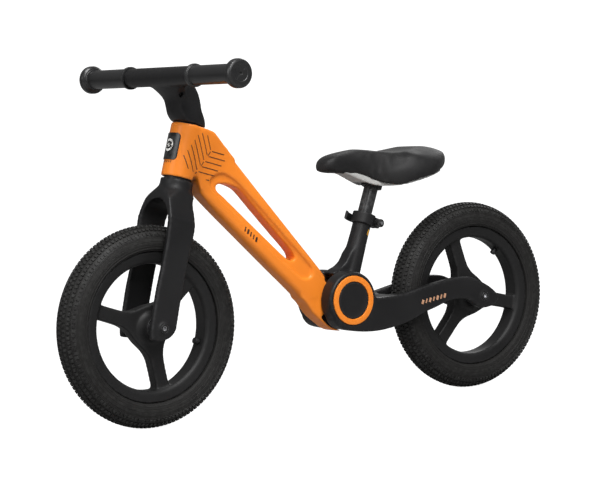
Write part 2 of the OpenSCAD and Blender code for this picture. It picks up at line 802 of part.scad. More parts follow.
module rear_frame() {
  color([0.12, 0.12, 0.12])
    difference() {
      union() {
        both_sides() {
          translate([hub_x, cheek_in, hub_z])
            rotate([-90, 0, 0])
              eased_disc(drum_r, cheek_out - cheek_in, 4);
          slab(arm_in, arm_out)
            arm_outline();
          slab(cheek_in, arm_in + eps)
            intersection() {
              arm_outline();
              translate([arm_pt([bridge_b, 0])[0], 0])
                square([400, 400]);
            }
          ycyl([rear_x, axle_z], boss_r, arm_out - 2, arm_out + boss_up);
        }
        slab(-cheek_in, cheek_in)
          hub_web();
        slab(-arm_in - eps, arm_in + eps)
          polygon([
            arm_pt([bridge_a, 3]), arm_pt([bridge_b, 5.5]), arm_pt([bridge_b, -38]), arm_pt([bridge_a, -42])
          ]);
        seat_frame() {
          translate([0, 0, -24])
            cylinder(r = seat_tube_d / 2, h = seat_tube_l + 24);
          translate([0, 0, -24])
            cylinder(r1 = seat_tube_d / 2 + 2.2, r2 = seat_tube_d / 2 - 0.3, h = seat_tube_l + 2);
          // fillet between the drum's top and the front of the tube
          rotate([90, 0, 0])
            translate([0, 0, -12])
              linear_extrude(24)
                polygon(concat(smooth([[10, 24], [15.8, 12], [17.4, 3], [20.5, -6], [26, -14], [33, -20.5], [40, -30]], 5),
                  [[10, -32]]));
        }
      }
      // the flare and the tube stay out of the slot that the tongue swings in
      slab(-cheek_in, cheek_in)
        polygon(concat([[hub_x, hub_z]], arc([hub_x, hub_z], 130, 72, -145, 40)));
      ycyl([hub_x, hub_z], barrel_r + 2, -cheek_in, cheek_in);
      // seat tube bore
      seat_frame()
        translate([0, 0, -34])
          cylinder(r = shim_r, h = seat_tube_l + 60);
      // inner pocket for the lock plate, outer pocket for the button, a wall between them
      both_sides() {
        ycyl([hub_x, hub_z], plate_r + 0.4, cheek_in - 1, wall_in);
        ycyl([hub_x, hub_z], button_r + 0.3, wall_out, cheek_out + 30);
        ycyl([hub_x, hub_z], ring_r, cheek_out - 4, cheek_out + 30);
        for (a = [0 : 120 : 240])
          ycyl([hub_x + 15 * cos(a + 30), hub_z + 15 * sin(a + 30)], 2.8, wall_in - 1, wall_out + 1);
        bolt_seat(rear_x, arm_in, arm_out);
      }
      ycyl([hub_x, hub_z], pivot_d / 2, -wall_out - 1, wall_out + 1);
    }
}

module hub_ring() {
  color([0.96, 0.55, 0.2])
    difference() {
      ycyl([hub_x, hub_z], ring_r, cheek_out - 4, cheek_out + 1);
      ycyl([hub_x, hub_z], button_r + 0.3, cheek_out - 5, cheek_out + 2);
    }
}

module hub_ring_left() {
  hub_ring();
}

module hub_ring_right() {
  mirror([0, 1, 0])
    hub_ring();
}

button_travel = 4;
button_y0 = wall_out + button_travel + 1;
button_y1 = cheek_out + 0.6;
plate_y0 = cheek_in + button_travel + 1;
plate_y1 = wall_in - 1;

module fold_pivot_tube() {
  color([0.7, 0.7, 0.72])
    difference() {
      ycyl([hub_x, hub_z], pivot_d / 2, -wall_out, wall_out);
      ycyl([hub_x, hub_z], pivot_d / 2 - 2.5, -wall_out - 1, wall_out + 1);
    }
}

module fold_button() {
  color([0.1, 0.1, 0.1]) {
    difference() {
      ycyl([hub_x, hub_z], button_r, button_y0, button_y1);
      ycyl([hub_x, hub_z], pivot_d / 2 + 6, button_y0 - 1, button_y0 + 3);
    }
    for (a = [0 : 120 : 240])
      ycyl([hub_x + 15 * cos(a + 30), hub_z + 15 * sin(a + 30)], 2.5, plate_y1, button_y0 + 4);
  }
}

module fold_button_left() {
  fold_button();
}

module fold_button_right() {
  mirror([0, 1, 0])
    fold_button();
}

module lock_plate() {
  color([0.6, 0.6, 0.62])
    difference() {
      ycyl([hub_x, hub_z], plate_r, plate_y0, plate_y1);
      ycyl([hub_x, hub_z], pivot_d / 2 + 0.3, plate_y0 - 1, plate_y1 + 1);
    }
}

module lock_plate_left() {
  lock_plate();
}

module lock_plate_right() {
  mirror([0, 1, 0])
    lock_plate();
}

// a wire coil drawn as closed rings, one per turn
module lock_spring() {
  wire_r = 0.8;
  coil_r = pivot_d / 2 + 3.2;
  y0 = wall_out + wire_r;
  y1 = button_y0 + 3 - wire_r;
  turns = 4;
  color([0.7, 0.7, 0.72])
    translate([hub_x, 0, hub_z])
      rotate([-90, 0, 0]) {
        for (i = [0 : turns - 1])
          translate([0, 0, y0 + (y1 - y0) * i / (turns - 1)])
            rotate_extrude($fn = 48)
              translate([coil_r, 0])
                circle(r = wire_r, $fn = 16);
        translate([coil_r, 0, y0])
          cylinder(r = wire_r * 0.7, h = y1 - y0, $fn = 16);
      }
}

module lock_spring_left() {
  lock_spring();
}

module lock_spring_right() {
  mirror([0, 1, 0])
    lock_spring();
}

// ---------- seat ----------

collar_t = 17;
collar_z0 = seat_tube_l - 12;
lip = 5;

module seat_tube_shim() {
  color([0.8, 0.8, 0.8])
    seat_frame()
      difference() {
        translate([0, 0, seat_tube_l - 50])
          cylinder(r = shim_r, h = 50);
        translate([0, 0, seat_tube_l - 51])
          cylinder(r = post_d / 2 + run, h = 60);
      }
}

ear_x = -(seat_tube_d / 2 + 7.5);
ear_z = collar_z0 + collar_t / 2;

module seat_clamp_collar() {
  color([0.1, 0.1, 0.1])
    seat_frame()
      difference() {
        union() {
          translate([0, 0, collar_z0])
            cylinder(r = seat_tube_d / 2 + 3.5, h = collar_t);
          translate([ear_x - 6, -9, collar_z0 + 1])
            cube([18, 18, collar_t - 2]);
          ycyl([ear_x, ear_z], 6, -12.6, 9);
        }
        translate([0, 0, collar_z0 - 1])
          cylinder(r = seat_tube_d / 2, h = collar_t - lip + 1);
        translate([0, 0, collar_z0])
          cylinder(r = post_d / 2 + 0.4, h = collar_t + 1);
        translate([ear_x - 10, -1, collar_z0 - 1])
          cube([-ear_x + 4, 2, collar_t + 2]);
        ycyl([ear_x, ear_z], 2.5, -30, 30);
      }
}

cam_y = -19;

module seat_clamp_skewer() {
  color([0.7, 0.7, 0.72])
    seat_frame() {
      difference() {
        union() {
          ycyl([ear_x, ear_z], 2.5, cam_y, 21);
          translate([ear_x, cam_y, ear_z - 2.6])
            cylinder(r = 4, h = 5.2);
        }
        translate([ear_x, cam_y, ear_z - 10])
          cylinder(r = 2, h = 20);
      }
      translate([ear_x, cam_y, ear_z - 7])
        cylinder(r = 2, h = 14);
    }
}

module seat_clamp_nut() {
  color([0.75, 0.75, 0.77])
    seat_frame()
      difference() {
        ycyl([ear_x, ear_z], 6.4, 9, 18);
        ycyl([ear_x, ear_z], 2.5, 8, 19);
      }
}

module clamp_lever() {
  wrap_r = seat_tube_d / 2 + 10.5;
  lever_h = 12;
  color([0.1, 0.1, 0.1])
    seat_frame()
      difference() {
        union() {
          translate([ear_x, cam_y, ear_z - lever_h / 2])
            cylinder(r = 6, h = lever_h);
          intersection() {
            translate([0, 0, ear_z - lever_h / 2])
              difference() {
                cylinder(r = wrap_r + 4, h = lever_h);
                translate([0, 0, -1])
                  cylinder(r = wrap_r, h = lever_h + 2);
              }
            translate([0, 0, ear_z - 20])
              linear_extrude(40)
                polygon([[0, 0], [ear_x * 2, cam_y * 2], [-40, -90], [60, -90], [60, -32]]);
          }
        }
        translate([ear_x, cam_y, ear_z - 20])
          cylinder(r = 2 + run, h = 40);
        // slot for the skewer's eye
        translate([ear_x, cam_y, ear_z - 2.8])
          cylinder(r = 4.6, h = 5.6);
        translate([ear_x - 20, cam_y, ear_z - 2.8])
          cube([22.6, 30, 5.6]);
        translate([ear_x - 20, cam_y - 4.5, ear_z - 2.8])
          cube([20, 10, 5.6]);
      }
}

module seat_post() {
  color([0.08, 0.08, 0.08])
    seat_frame()
      difference() {
        cylinder(r = post_d / 2, h = post_top);
        translate([0, 0, -1])
          cylinder(r = post_d / 2 - 1.6, h = post_top + 2);
      }
}

// saddle outlines, measured from the saddle's middle and from its top
nose = saddle_l / 2;
sl = saddle_l / 226;

module saddle_side() {
  over = smooth([[nose, -27], [nose - 5, -14], [nose - 20, -5], [58 * sl, -3.5], [26 * sl, -6], [2 * sl, -9.5],
    [-21 * sl, -11], [-44 * sl, -8.5], [-62 * sl, -4], [-82 * sl, 0], [-nose + 18, -1], [-nose + 4, -7],
    [-nose - 4, -16], [-nose - 6, -26]], 6);
  under = smooth([[-nose - 2, -30], [-nose + 14, -33], [-84 * sl, -41.5], [-66 * sl, -48], [-41 * sl, -55],
    [-13 * sl, -60], [6 * sl, -56.5], [31 * sl, -45.5], [60 * sl, -36], [97 * sl, -30], [nose - 5, -29]], 6);
  polygon(concat(over, under));
}

function saddle_half(d) = smooth([
  [nose - d, 0], [nose - 1 - d, 9 - d * 0.4], [nose - 8 - d, 17 - d], [nose - 22, 20.5 - d], [50 * sl, 23 - d],
  [18 * sl, 32 - d], [-12 * sl, 0.34 * saddle_w - d], [-42 * sl, 0.45 * saddle_w - d],
  [-68 * sl, 0.49 * saddle_w - d], [-87 * sl, 0.45 * saddle_w - d], [-nose + 8 + d, 0.34 * saddle_w - d],
  [-nose - 3 + d, 0.18 * saddle_w], [-nose - 6 + d, 0]], 6);

module saddle_plan(d) {
  half = saddle_half(d);
  polygon(concat(half, [for (i = [len(half) - 2 : -1 : 1]) [half[i][0], -half[i][1]]]));
}

// the pad's crown, seen from the front
module saddle_crown() {
  w = saddle_w / 2;
  half = smooth([[0, 0.5], [0.22 * w, -0.3], [0.45 * w, -2.8], [0.65 * w, -7], [0.82 * w, -13.5], [0.94 * w, -22],
    [1.02 * w, -34], [1.04 * w, -50]], 6);
  translate([saddle_x - saddle_l, 0, saddle_top])
    rotate([90, 0, 90])
      linear_extrude(2 * saddle_l)
        polygon(concat(half, [[w * 1.04, -90], [-w * 1.04, -90]],
          [for (i = [len(half) - 1 : -1 : 1]) [-half[i][0], half[i][1]]]));
}

base_end = -86 * sl;
base_top = [[nose - 20, -26], [40 * sl, -34], [0, -38], [-60 * sl, -38], [base_end, -35]];

module saddle_blank(d) {
  translate([saddle_x, 0, saddle_top - 100])
    linear_extrude(140)
      saddle_plan(d);
}

module saddle_pad() {
  color([0.1, 0.1, 0.1])
    difference() {
      intersection() {
        translate([saddle_x, 0, saddle_top])
          slab(-saddle_w, saddle_w)
            saddle_side();
        saddle_blank(0);
        saddle_crown();
      }
      intersection() {
        translate([saddle_x, 0, saddle_top])
          slab(-saddle_w, saddle_w)
            polygon(concat(base_top, [[base_end, -90], [nose - 15, -90]]));
        saddle_blank(6);
      }
    }
}

module saddle_base() {
  color([0.72, 0.72, 0.7])
    difference() {
      intersection() {
        translate([saddle_x, 0, saddle_top])
          slab(-saddle_w, saddle_w)
            polygon(concat(base_top, smooth([[base_end, -39], [-68 * sl, -44.5], [-42 * sl, -52.5], [-14 * sl, -58.5],
              [14 * sl, -57.5], [38 * sl, -49], [60 * sl, -39], [nose - 34, -32]], 4)));
        saddle_blank(6);
      }
      intersection() {
        translate([saddle_x, 0, saddle_top])
          slab(-saddle_w, saddle_w)
            polygon([[-58 * sl, ceiling], [-58 * sl, -90], [30 * sl, -90], [30 * sl, ceiling]]);
        saddle_blank(10);
      }
      for (p = screw_pts)
        translate([saddle_x + p[0], p[1], saddle_top + ceiling - 1])
          cylinder(r = 2, h = 5, $fn = 32);
    }
}

screw_pts = [[-21, 11], [-21, -11], [-36, 11], [-36, -11]];

module saddle_bracket() {
  plate_z = saddle_top + ceiling;
  color([0.1, 0.1, 0.1])
    difference() {
      union() {
        translate([saddle_x - 44, -17, plate_z - 6])
          cube([60, 34, 6]);
        intersection() {
          seat_frame()
            translate([0, 0, seat_tube_l + 47])
              cylinder(r = post_d / 2 + 5.4, h = 60);
          translate([saddle_x - 60, -50, plate_z - 60])
            cube([120, 100, 60]);
        }
      }
      seat_frame()
        translate([0, 0, seat_tube_l])
          cylinder(r = post_d / 2, h = post_top - seat_tube_l);
      for (p = screw_pts)
        translate([saddle_x + p[0], p[1], plate_z - 10])
          cylinder(r = 2, h = 20, $fn = 32);
    }
}

module saddle_screws() {
  color([0.7, 0.7, 0.72])
    for (p = screw_pts)
      translate([saddle_x + p[0], p[1], saddle_top + ceiling]) {
        translate([0, 0, -8])
          cylinder(r = 2, h = 11.5, $fn = 32);
        translate([0, 0, -8.5])
          cylinder(r = 3.6, h = 2.5, $fn = 32);
      }
}

// ---------- nodes ----------

module rear_axle() {
  axle_at(rear_x, arm_in);
}

module rear_axle_spacers() {
  axle_spacers_at(rear_x, arm_in);
}

module rear_axle_bolts() {
  axle_bolts_at(rear_x, arm_out);
}

module front_axle() {
  axle_at(front_x, leg_in);
}

module front_axle_spacers() {
  axle_spacers_at(front_x, leg_in);
}

module front_axle_bolts() {
  axle_bolts_at(front_x, leg_out);
}

module headset_bearing_upper() {
  headset_bearing(head_s1 - cup_h);
}

module headset_bearing_lower() {
  headset_bearing(head_s0);
}

module front_rim() {
  rim_at(front_x, spoke_front_phase, 1);
}

module front_tyre() {
  tyre_at(front_x);
}

module front_inner_tube() {
  inner_tube_at(front_x);
}

module front_valve() {
  valve_at(front_x, spoke_front_phase, 1);
}

module front_wheel_bearings() {
  wheel_bearings_at(front_x);
}

module rear_rim() {
  rim_at(rear_x, spoke_rear_phase, 0);
}

module rear_tyre() {
  tyre_at(rear_x);
}

module rear_inner_tube() {
  inner_tube_at(rear_x);
}

module rear_valve() {
  valve_at(rear_x, spoke_rear_phase, 0);
}

module rear_wheel_bearings() {
  wheel_bearings_at(rear_x);
}

rear_frame();
seat_tube_shim();
seat_clamp_collar();
seat_clamp_skewer();
seat_clamp_nut();
fold_pivot_tube();
hub_ring_left();
hub_ring_right();
lock_spring_left();
lock_spring_right();
rear_axle();
rear_axle_spacers();
rear_axle_bolts();
front_frame();
pivot_bush();
headset_bearing_upper();
headset_bearing_lower();
head_badge();
fork();
crown_race();
stem();
stem_bolt();
handlebar_tube();
grip_left();
grip_right();
front_axle();
front_axle_spacers();
front_axle_bolts();
front_rim();
front_tyre();
front_inner_tube();
front_valve();
front_wheel_bearings();
rear_rim();
rear_tyre();
rear_inner_tube();
rear_valve();
rear_wheel_bearings();
seat_post();
saddle_bracket();
saddle_base();
saddle_pad();
saddle_screws();
clamp_lever();
fold_button_left();
fold_button_right();
lock_plate_left();
lock_plate_right();
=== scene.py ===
# %% [markdown]
# # A folding balance bike
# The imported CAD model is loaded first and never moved. Every piece below is placed from it, in metres, with X forward,
# Y to the rider's left and Z up. Large castings are smoothed from their CAD solids, round pieces are spun, and the
# saddle is swelled with cloth pressure.

# %% Load the frame
import json
import math

import bmesh
import bpy
from mathutils import Matrix, Vector

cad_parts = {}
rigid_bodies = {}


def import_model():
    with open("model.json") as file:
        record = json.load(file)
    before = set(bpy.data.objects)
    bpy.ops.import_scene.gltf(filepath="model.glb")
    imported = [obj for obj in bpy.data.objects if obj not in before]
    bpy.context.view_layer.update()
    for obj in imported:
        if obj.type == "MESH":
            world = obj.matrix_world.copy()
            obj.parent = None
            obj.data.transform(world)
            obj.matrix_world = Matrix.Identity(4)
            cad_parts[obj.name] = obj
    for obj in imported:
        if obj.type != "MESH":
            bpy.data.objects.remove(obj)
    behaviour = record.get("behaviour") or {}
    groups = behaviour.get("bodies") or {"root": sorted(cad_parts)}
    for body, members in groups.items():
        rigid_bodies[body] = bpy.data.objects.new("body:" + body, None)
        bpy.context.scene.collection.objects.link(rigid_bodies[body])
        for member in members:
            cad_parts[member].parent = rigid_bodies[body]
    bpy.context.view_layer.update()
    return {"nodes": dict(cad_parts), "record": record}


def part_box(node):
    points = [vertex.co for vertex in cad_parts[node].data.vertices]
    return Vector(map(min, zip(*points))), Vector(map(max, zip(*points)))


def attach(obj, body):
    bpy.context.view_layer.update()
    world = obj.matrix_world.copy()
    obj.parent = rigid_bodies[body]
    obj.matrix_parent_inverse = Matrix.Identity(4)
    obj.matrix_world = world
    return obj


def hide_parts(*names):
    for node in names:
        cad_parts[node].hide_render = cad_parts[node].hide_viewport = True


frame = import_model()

nodes = frame["nodes"]
MM = 0.001


# %% [markdown]
# ## Where things are
# The CAD nodes give every axis: a wheel's centre is the middle of its axle's box, the fold axis is the middle of the
# pivot tube, and the head tube's ends come from its two bearings.

# %% Find the axes
def middle(node):
    low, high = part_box(node)
    return (low + high) / 2


front_axle = middle("front_axle")
rear_axle = middle("rear_axle")
hub = middle("fold_pivot_tube")
bar = middle("handlebar_tube")
head_low = middle("headset_bearing_lower")
head_high = middle("headset_bearing_upper")
head_mid = (head_low + head_high) / 2
steer_axis = (head_high - head_low).normalized()
beam_dir = (head_mid - hub).normalized()
beam_up = Vector((-beam_dir.z, 0, beam_dir.x))
beam_length = (head_mid - hub).length
print("hub", tuple(round(v, 4) for v in hub), "beam", round(beam_length, 4))


# %% [markdown]
# ## The camera
# A long lens stands off the bike's front left, near hub height, looking slightly down and tipped by two degrees.

# %% Camera
def aim_camera(place, yaw, pitch, roll, lens):
    out = Vector((math.cos(yaw) * math.cos(pitch), math.sin(yaw) * math.cos(pitch), math.sin(pitch)))
    right = Vector((math.sin(yaw), -math.cos(yaw), 0))
    up = right.cross(out)
    right_rolled = right * math.cos(roll) + up * math.sin(roll)
    up_rolled = up * math.cos(roll) - right * math.sin(roll)
    data = bpy.data.cameras.new("camera")
    data.lens = lens
    data.sensor_width = 36
    data.clip_end = 60
    camera = bpy.data.objects.new("camera", data)
    camera.matrix_world = Matrix.Translation(place) @ Matrix((right_rolled, up_rolled, -out)).transposed().to_4x4()
    bpy.context.scene.collection.objects.link(camera)
    bpy.context.scene.camera = camera
    return camera


aim_camera(Vector((2.1234, 2.9191, 0.4819)), math.radians(-125.73), math.radians(-3.71), math.radians(-1.961), 142.0)


# %% [markdown]
# ## Shared surface effects
# Two node groups do the work that several finishes need. Moulded grain gives a fine height and a slow cloudy mask.
# Edge wear, with a painted edge highlight, turns convex corners into a mask that lightens them. Settled dust gathers in
# hollows.

# %% Group helpers
def new_group(name, inputs, outputs):
    group = bpy.data.node_groups.new(name, "ShaderNodeTree")
    for label, kind, value in inputs:
        socket = group.interface.new_socket(label, in_out="INPUT", socket_type=kind)
        if value is not None:
            socket.default_value = value
    for label, kind in outputs:
        group.interface.new_socket(label, in_out="OUTPUT", socket_type=kind)
    return group, group.nodes.new("NodeGroupInput"), group.nodes.new("NodeGroupOutput")


def math_node(tree, operation, a, b=None, clamp=False):
    node = tree.nodes.new("ShaderNodeMath")
    node.operation = operation
    node.use_clamp = clamp
    for slot, value in enumerate((a, b)):
        if value is None:
            continue
        if isinstance(value, (int, float)):
            node.inputs[slot].default_value = value
        else:
            tree.links.new(value, node.inputs[slot])
    return node.outputs[0]


def remap(tree, value, low, high, to_low, to_high):
    node = tree.nodes.new("ShaderNodeMapRange")
    tree.links.new(value, node.inputs["Value"])
    for label, number in (("From Min", low), ("From Max", high), ("To Min", to_low), ("To Max", to_high)):
        node.inputs[label].default_value = number
    return node.outputs["Result"]


# %% Moulded grain
def make_grain_group():
    group, start, end = new_group(
        "moulded_grain",
        [("Vector", "NodeSocketVector", None), ("Grain Scale", "NodeSocketFloat", 900.0),
         ("Cloud Scale", "NodeSocketFloat", 14.0)],
        [("Height", "NodeSocketFloat"), ("Cloud", "NodeSocketFloat")])
    fine = group.nodes.new("ShaderNodeTexNoise")
    fine.inputs["Detail"].default_value = 3.0
    cloud = group.nodes.new("ShaderNodeTexNoise")
    cloud.inputs["Detail"].default_value = 4.0
    for node, scale in ((fine, "Grain Scale"), (cloud, "Cloud Scale")):
        group.links.new(start.outputs["Vector"], node.inputs["Vector"])
        group.links.new(start.outputs[scale], node.inputs["Scale"])
    group.links.new(fine.outputs["Fac"], end.inputs["Height"])
    group.links.new(remap(group, cloud.outputs["Fac"], 0.3, 0.7, 0.0, 1.0), end.inputs["Cloud"])
    return group


grain_group = make_grain_group()
print("made", grain_group.name)


# %% Edge wear with a painted edge highlight, and settled dust
def make_edge_group():
    group, start, end = new_group(
        "edge_wear",
        [("Vector", "NodeSocketVector", None), ("Reach", "NodeSocketFloat", 0.06),
         ("Break Up", "NodeSocketFloat", 160.0)],
        [("Worn", "NodeSocketFloat"), ("Hollow", "NodeSocketFloat")])
    shape = group.nodes.new("ShaderNodeNewGeometry")
    patchy_noise = group.nodes.new("ShaderNodeTexNoise")
    patchy_noise.inputs["Detail"].default_value = 5.0
    group.links.new(start.outputs["Vector"], patchy_noise.inputs["Vector"])
    group.links.new(start.outputs["Break Up"], patchy_noise.inputs["Scale"])
    # Convex corners make the first mask, and finishes lighten them with it: partly edge wear, partly a painted edge
    # highlight. Concave corners make the dust mask.
    over = math_node(group, "SUBTRACT", shape.outputs["Pointiness"], 0.5)
    convex = math_node(group, "DIVIDE", over, start.outputs["Reach"], clamp=True)
    under = math_node(group, "SUBTRACT", 0.5, shape.outputs["Pointiness"])
    concave = math_node(group, "DIVIDE", under, start.outputs["Reach"], clamp=True)
    patches = remap(group, patchy_noise.outputs["Fac"], 0.42, 0.62, 0.0, 1.0)
    group.links.new(math_node(group, "MULTIPLY", convex, patches), end.inputs["Worn"])
    group.links.new(math_node(group, "MULTIPLY", concave, patches), end.inputs["Hollow"])
    return group


edge_group = make_edge_group()
print("made", edge_group.name)


# %% [markdown]
# ## Finishes
# Each finish keeps its own Principled shader, with constants on the shader's sockets. The groups feed colour,
# roughness and bump, so that a moulded part looks moulded and a tyre looks like rubber up close.

# %% The common recipe
def place_group(tree, group, coordinates, values=()):
    node = tree.nodes.new("ShaderNodeGroup")
    node.node_tree = group
    tree.links.new(coordinates, node.inputs["Vector"])
    for label, number in values:
        node.inputs[label].default_value = number
    return node


def blend_colour(tree, factor, first, second):
    node = tree.nodes.new("ShaderNodeMix")
    node.data_type = "RGBA"
    for slot, value in ((6, first), (7, second)):
        if isinstance(value, tuple):
            node.inputs[slot].default_value = (*value, 1.0)
        else:
            tree.links.new(value, node.inputs[slot])
    tree.links.new(factor, node.inputs[0])
    return node.outputs[2]


# The third colour goes on convex corners: partly edge wear, partly a painted edge highlight.
def finish(name, colour, cloudy, wear_and_highlight, roughness, grain=900.0, depth=0.00004, wear_and_highlight_reach=0.08, cloud=14.0,
           dust=None, metal=0.0, spread=0.08, settings=()):
    material = bpy.data.materials.new(name)
    material.use_nodes = True
    tree = material.node_tree
    shader = tree.nodes["Principled BSDF"]
    shader.inputs["Metallic"].default_value = metal
    for label, number in settings:
        shader.inputs[label].default_value = number
    coordinates = tree.nodes.new("ShaderNodeTexCoord").outputs["Object"]
    grains = place_group(tree, grain_group, coordinates, [("Grain Scale", grain), ("Cloud Scale", cloud)])
    edges = place_group(tree, edge_group, coordinates, [("Reach", wear_and_highlight_reach)])
    base = blend_colour(tree, grains.outputs["Cloud"], colour, cloudy)
    # Painted edge highlight with edge wear: convex corners take the lighter third colour.
    base = blend_colour(tree, math_node(tree, "MULTIPLY", edges.outputs["Worn"], 0.6), base, wear_and_highlight)
    if dust:
        base = blend_colour(tree, math_node(tree, "MULTIPLY", edges.outputs["Hollow"], 0.55), base, dust)
    tree.links.new(base, shader.inputs["Base Color"])
    rough = remap(tree, grains.outputs["Cloud"], 0.0, 1.0, roughness - spread, roughness + spread)
    tree.links.new(rough, shader.inputs["Roughness"])
    bump = tree.nodes.new("ShaderNodeBump")
    bump.inputs["Strength"].default_value = 0.5
    bump.inputs["Distance"].default_value = depth
    tree.links.new(grains.outputs["Height"], bump.inputs["Height"])
    tree.links.new(bump.outputs["Normal"], shader.inputs["Normal"])
    return material


# %% Paints and plastics
orange = finish("orange_paint", (0.84, 0.232, 0.022), (0.79, 0.212, 0.018), (0.88, 0.33, 0.07), 0.38,
                grain=420.0, depth=0.00003, spread=0.05, settings=[("Specular IOR Level", 0.25)])
black_moulding = finish("black_moulding", (0.0075, 0.0073, 0.0078), (0.0105, 0.0103, 0.0108), (0.05, 0.05, 0.052), 0.47,
                        grain=1300.0, depth=0.00006, settings=[("Specular IOR Level", 0.27)])
wheel_moulding = finish("wheel_moulding", (0.0065, 0.0064, 0.0066), (0.009, 0.0088, 0.009), (0.04, 0.04, 0.04), 0.52,
                        grain=1100.0, depth=0.00006, dust=(0.03, 0.029, 0.027), settings=[("Specular IOR Level", 0.3)])
base_plastic = finish("base_plastic", (0.42, 0.42, 0.41), (0.38, 0.38, 0.37), (0.5, 0.5, 0.5), 0.5,
                      grain=1000.0, depth=0.00005)
bush_plastic = finish("bush_plastic", (0.62, 0.61, 0.57), (0.58, 0.57, 0.53), (0.7, 0.7, 0.66), 0.55)
badge_black = finish("badge_black", (0.008, 0.008, 0.009), (0.011, 0.011, 0.012), (0.04, 0.04, 0.04), 0.3,
                     grain=500.0, depth=0.00001, settings=[("Specular IOR Level", 0.35)])
print("paints and plastics ready")

# %% Rubbers
tyre_rubber = finish("tyre_rubber", (0.0068, 0.0064, 0.006), (0.0105, 0.0099, 0.0094), (0.034, 0.034, 0.033), 0.66,
                     grain=1500.0, depth=0.00010, cloud=30.0, dust=(0.042, 0.039, 0.034),
                     settings=[("Specular IOR Level", 0.3)])
grip_rubber = finish("grip_rubber", (0.0078, 0.0078, 0.0082), (0.0105, 0.0105, 0.011), (0.04, 0.04, 0.04), 0.34,
                     grain=1700.0, depth=0.00003, settings=[("Specular IOR Level", 0.55)])
seal_rubber = finish("seal_rubber", (0.012, 0.012, 0.012), (0.017, 0.017, 0.017), (0.04, 0.04, 0.04), 0.5)
print("rubbers ready")

# %% Metals
steel = finish("bearing_steel", (0.42, 0.43, 0.45), (0.42, 0.43, 0.45), (0.65, 0.65, 0.66), 0.32, metal=1.0,
               grain=2500.0, depth=0.00002)
bright_steel = finish("bright_steel", (0.38, 0.38, 0.39), (0.32, 0.32, 0.33), (0.5, 0.5, 0.5), 0.3, metal=1.0,
                      grain=2500.0, depth=0.00001, spread=0.05)
black_tube = finish("black_tube", (0.011, 0.011, 0.012), (0.015, 0.015, 0.016), (0.06, 0.06, 0.06), 0.27,
                    grain=700.0, depth=0.00001, spread=0.05, settings=[("Specular IOR Level", 0.45)])
silver_tube = finish("silver_tube", (0.62, 0.62, 0.64), (0.55, 0.55, 0.57), (0.75, 0.75, 0.76), 0.35, metal=1.0)
print("metals ready")

# %% Printed marks
dark_ink = finish("dark_ink", (0.035, 0.014, 0.008), (0.028, 0.011, 0.007), (0.09, 0.035, 0.015), 0.42, depth=0.00001)
pale_ink = finish("pale_ink", (0.50, 0.26, 0.15), (0.44, 0.23, 0.13), (0.6, 0.35, 0.22), 0.5, depth=0.00001)
white_ink = finish("white_ink", (0.72, 0.71, 0.68), (0.66, 0.65, 0.62), (0.8, 0.8, 0.78), 0.4, depth=0.00001)
yellow_ink = finish("yellow_ink", (0.75, 0.36, 0.02), (0.70, 0.33, 0.02), (0.8, 0.5, 0.1), 0.4, depth=0.00001)
print("inks ready")


# %% [markdown]
# ## Saddle cover
# Black coated cloth with a fine pebbled grain. Voronoi cells make the pebbles, and a slow noise keeps the sheen uneven.

# %% Saddle cover material
def make_saddle_cover():
    material = finish("saddle_cover", (0.0065, 0.0063, 0.0066), (0.0095, 0.0093, 0.0096), (0.03, 0.03, 0.03), 0.6,
                      grain=1400.0, depth=0.00005, cloud=22.0,
                      settings=[("Sheen Weight", 0.05), ("Sheen Roughness", 0.5), ("Specular IOR Level", 0.25)])
    tree = material.node_tree
    shader = tree.nodes["Principled BSDF"]
    pebbles = tree.nodes.new("ShaderNodeTexVoronoi")
    pebbles.inputs["Scale"].default_value = 850.0
    tree.links.new(tree.nodes["Texture Coordinate"].outputs["Object"], pebbles.inputs["Vector"])
    bump = tree.nodes.new("ShaderNodeBump")
    bump.inputs["Strength"].default_value = 0.6
    bump.inputs["Distance"].default_value = 0.00022
    tree.links.new(pebbles.outputs["Distance"], bump.inputs["Height"])
    tree.links.new(tree.nodes["Bump"].outputs["Normal"], bump.inputs["Normal"])
    tree.links.new(bump.outputs["Normal"], shader.inputs["Normal"])
    return material


saddle_cover = make_saddle_cover()

# %% [markdown]
# ## Helpers for pieces
# `keep` turns a finished bmesh into an object: doubles merged, normals outward, soft shading with sharp creases kept.
# It also hides the CAD node that the piece stands for, unless told not to, and hangs the piece on the body that carries
# it.

# %% Keep a piece
body_of_node = {n: b for b, members in frame["record"]["behaviour"]["bodies"].items() for n in members}
slot_of_node = {part["node"]: part["material_slot"] for part in frame["record"]["subparts"]}


def keep(bm, name, material, node=None, body=None, crease=35, replace=True):
    bmesh.ops.remove_doubles(bm, verts=bm.verts, dist=0.000002)
    bmesh.ops.recalc_face_normals(bm, faces=bm.faces)
    mesh = bpy.data.meshes.new(name)
    bm.to_mesh(mesh)
    bm.free()
    return keep_mesh(mesh, name, material, node, body, crease, replace)


def keep_mesh(mesh, name, material, node=None, body=None, crease=35, replace=True):
    mesh.materials.clear()
    mesh.materials.append(material)
    mesh.shade_smooth()
    mesh.set_sharp_from_angle(angle=math.radians(crease))
    piece = bpy.data.objects.new(name, mesh)
    bpy.context.scene.collection.objects.link(piece)
    if node and replace:
        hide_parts(node)
    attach(piece, body or body_of_node[node])
    print(name, len(mesh.polygons), "faces")
    return piece


def baked_mesh(piece, name):
    """The mesh a piece has once its modifiers have run."""
    bpy.context.view_layer.update()
    graph = bpy.context.evaluated_depsgraph_get()
    mesh = bpy.data.meshes.new_from_object(piece.evaluated_get(graph))
    mesh.name = name
    return mesh


# %% [markdown]
# ## Castings
# The frame halves, fork, stem and wheels are moulded: every inside corner has a fillet and every edge is eased. A
# bevel cannot follow edges where so many surfaces meet, so each casting starts as a merged copy of its CAD solid,
# is rebuilt as an even skin of small voxels, and is relaxed a few passes until the corners look poured.

